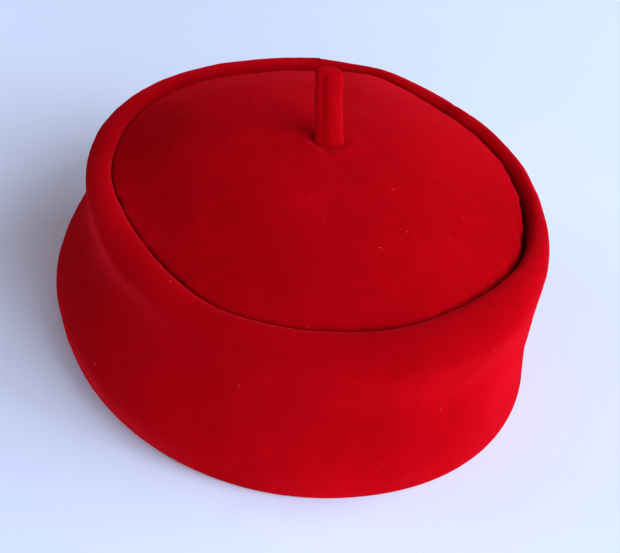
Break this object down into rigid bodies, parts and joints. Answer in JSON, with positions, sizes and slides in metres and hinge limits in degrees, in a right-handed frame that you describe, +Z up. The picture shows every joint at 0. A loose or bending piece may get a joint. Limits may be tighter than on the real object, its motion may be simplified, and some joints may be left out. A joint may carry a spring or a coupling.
{
  "type": "fez hat",
  "caption": "Low oval fez hat of red pile felt: flared side band with a rolled upper edge, a domed crown set inside the roll, and a short upright rolled-cloth stub.",
  "frame": {"origin": "centre of the bounding box in plan, at the height of the hem that the hat rests on", "axes": "+Z up through the crown, -Y the hat's front, the end that faces the viewer, +X across the hat"},
  "size_m": [0.1828, 0.2082, 0.1143],
  "materials": {
    "felt_band": "soft pile felt, matt with a sheen at glancing angles",
    "felt_crown": "soft pile felt, matt with a sheen at glancing angles",
    "felt_stub": "the same felt rolled into a short stub"
  },
  "bodies": {
    "root": {"side_band": "felt_band", "crown": "felt_crown", "stub": "felt_stub"}
  },
  "joints": []
}
